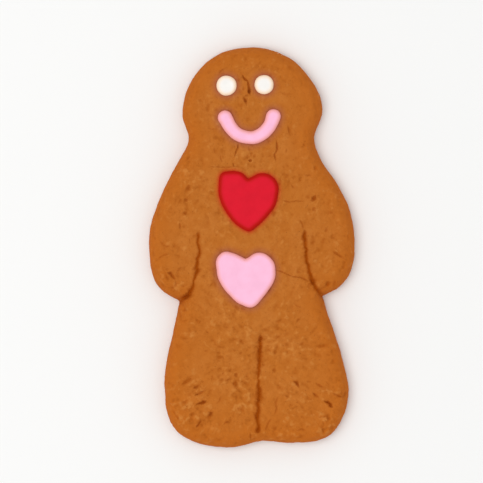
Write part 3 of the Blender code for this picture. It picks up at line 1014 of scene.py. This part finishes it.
def gingerbread_material():
    made, shader = new_material("gingerbread_crumb")
    g = Graph(made.node_tree)
    patches = g.noise(9 * MM, 3, 0.55)
    blotches = g.noise(3.2 * MM, 2, 0.5)
    mottle = g.noise(1.8 * MM, 4, 0.6, 0.6)
    grain = g.noise(0.4 * MM, 4, 0.7)
    pores = g.cells(0.9 * MM)
    specks = g.cells(1.7 * MM)
    crumb = g.attribute("crumb")
    under = g.attribute("underside")
    under_patches = g.times(g.band(g.noise(14 * MM, 3, 0.6), 0.45, 0.65), under)
    under_pits = g.times(g.band(g.cells(4.5 * MM), 0.2, 0.1), under)

    # What lies over the base colour, from the lowest layer up: its pattern, the values of that
    # where the layer starts and is full, how much it covers there, and its 8-bit display colour
    layers = (
        (g.attribute("edge"), 0.0, 1.0, 1.0, (186, 99, 24)),
        (g.across("Y"), -18 * MM, -60 * MM, 0.25, (197, 104, 22)),  # towards the feet
        (blotches, 0.38, 0.62, 0.4, (178, 98, 30)),
        (mottle, 0.42, 0.68, 0.35, (176, 96, 28)),
        (crumb, 0.6, 1.0, 0.5, (212, 140, 68)),  # painted highlight on the crust's high places
        (crumb, 0.42, 0.05, 0.6, (160, 84, 20)),  # and painted shade in its low ones
        (grain, 0.5, 0.72, 0.2, (162, 86, 24)),
        (pores, 0.16, 0.04, 0.4, (140, 68, 16)),
        (specks, 0.09, 0.05, 0.6, (104, 48, 16)),
        # painted light on the sloping shoulder, lighter towards the outline
        (g.attribute("rim"), 0.0, 1.0, 0.5, (202, 108, 30)),
        (under, 0.0, 1.0, 0.8, (150, 78, 20)),
        (under_patches, 0.0, 1.0, 0.5, (116, 56, 16)),
        (under_pits, 0.0, 1.0, 0.6, (100, 46, 14)),
        # painted contact shadow round the pale icing
        (g.attribute("contact_shade"), 0.1, 1.0, 0.8, (154, 86, 72)),
        # the red heart's colour bled into the crust, darkened as painted contact shadow
        (g.attribute("bleed_and_shade"), 0.05, 1.0, 0.85, (200, 48, 28)),
        # painted shade in slits, cracks, pits and tears
        (g.attribute("crevice_shade"), 0.0, 1.0, 1.0, (164, 75, 0)),
    )
    base = g.mix(g.band(patches, 0.35, 0.65), srgb(189, 111, 41), srgb(193, 117, 49))
    for pattern, start, full, share, colour in layers:
        base = g.mix(g.band(pattern, start, full, 0.0, share), base, srgb(*colour))
    g.link(base, shader.inputs["Base Color"])
    shader.inputs["Roughness"].default_value = 0.95
    shader.inputs["Specular IOR Level"].default_value = 0.1

    normal = g.bump(mottle, 0.35 * MM, 0.5)
    normal = g.bump(grain, 0.25 * MM, 0.7, normal)
    normal = g.bump(g.band(pores, 0.04, 0.2), 0.15 * MM, 0.6, normal)
    normal = g.bump(g.band(under_pits, 0.0, 1.0, 1.0, 0.0), 0.4 * MM, 0.7, normal)
    g.link(normal, shader.inputs["Normal"])
    return made


def icing_material(name, colour, rim_light_and_shade, rim_band, specular):
    made, shader = new_material(name)
    g = Graph(made.node_tree)
    cloud = g.noise(4 * MM, 3, 0.5)
    fine = g.noise(0.5 * MM, 3, 0.6)
    light = srgb(*colour)
    tint = tuple(value * 0.94 for value in light)
    base = g.mix(g.band(cloud, 0.35, 0.65), light, tint)
    # painted shade on the red heart's edge, painted bounce light on the pale icing's edge
    base = g.mix(g.band(g.attribute("rim"), *rim_band), base, srgb(*rim_light_and_shade))
    g.link(base, shader.inputs["Base Color"])
    g.link(g.band(fine, 0.3, 0.7, 0.55, 0.68), shader.inputs["Roughness"])
    shader.inputs["Specular IOR Level"].default_value = specular
    normal = g.bump(cloud, 0.25 * MM, 0.3)
    normal = g.bump(fine, 0.05 * MM, 0.4, normal)
    g.link(normal, shader.inputs["Normal"])
    return made


def floor_material():
    made, shader = new_material("pale_floor")
    shader.inputs["Base Color"].default_value = FLOOR_COLOUR
    shader.inputs["Roughness"].default_value = 0.9
    return made


# ---------------------------------------------------------------- the scene


def add_piece(obj, made, node):
    """Puts a finished piece in place of its CAD node."""
    obj.data.materials.append(made)
    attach(obj, "root")
    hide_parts(node)


def add_floor():
    """A wide square at the height that the biscuit lies on."""
    mesh = bpy.data.meshes.new("floor")
    corners = [(x * FLOOR_HALF, y * FLOOR_HALF, 0) for x, y in ((-1, -1), (1, -1), (1, 1), (-1, 1))]
    mesh.from_pydata(corners, [], [(0, 1, 2, 3)])
    floor = bpy.data.objects.new("floor", mesh)
    bpy.context.scene.collection.objects.link(floor)
    mesh.materials.append(floor_material())


def add_key_light():
    """A square softbox that faces the biscuit."""
    data = bpy.data.lights.new("key", "AREA")
    data.shape = "SQUARE"
    data.size = KEY_SIZE
    data.energy = KEY_POWER
    light = bpy.data.objects.new("key", data)
    light.location = KEY_PLACE
    light.rotation_mode = "QUATERNION"
    light.rotation_quaternion = (-Vector(KEY_PLACE)).to_track_quat("-Z", "Y")
    bpy.context.scene.collection.objects.link(light)


def add_world():
    """Even white light from all round."""
    world = bpy.data.worlds.new("studio")
    world.use_nodes = True
    background = world.node_tree.nodes["Background"]
    background.inputs["Color"].default_value = (1.0, 1.0, 1.0, 1.0)
    background.inputs["Strength"].default_value = WORLD_STRENGTH
    bpy.context.scene.world = world


def add_camera():
    """A long lens straight above, so that the biscuit's sides don't show."""
    data = bpy.data.cameras.new("camera")
    data.lens = LENS
    data.sensor_width = SENSOR
    camera = bpy.data.objects.new("camera", data)
    camera.location = (CAMERA_X, CAMERA_Y, FIELD_HEIGHT + FIELD * LENS / SENSOR)
    bpy.context.scene.collection.objects.link(camera)
    bpy.context.scene.camera = camera


def main():
    add_camera()
    add_floor()
    add_world()
    add_key_light()
    bpy.context.scene.view_settings.view_transform = "Standard"

    outline = resample(read_outline("gingerbread"), STATION, OUTLINE_SOFTENING)
    inward = inward_normals(outline, INWARD_SOFTENING / STATION)
    biscuit = make_gingerbread(outline, inward, Crevices())
    add_piece(biscuit, gingerbread_material(), "gingerbread")

    def ground(points):
        return surface_height(points, outline, inward)

    looks = {slot: icing_material(slot, *look) for slot, look in ICING_LOOKS.items()}
    for name, node, slot, height, edge, spacing, seed, shrink in ICING:
        shape = (height * MM, edge * MM, ground, spacing * MM, seed, shrink * MM)
        add_piece(make_icing(name, node, *shape), looks[slot], node)


main()
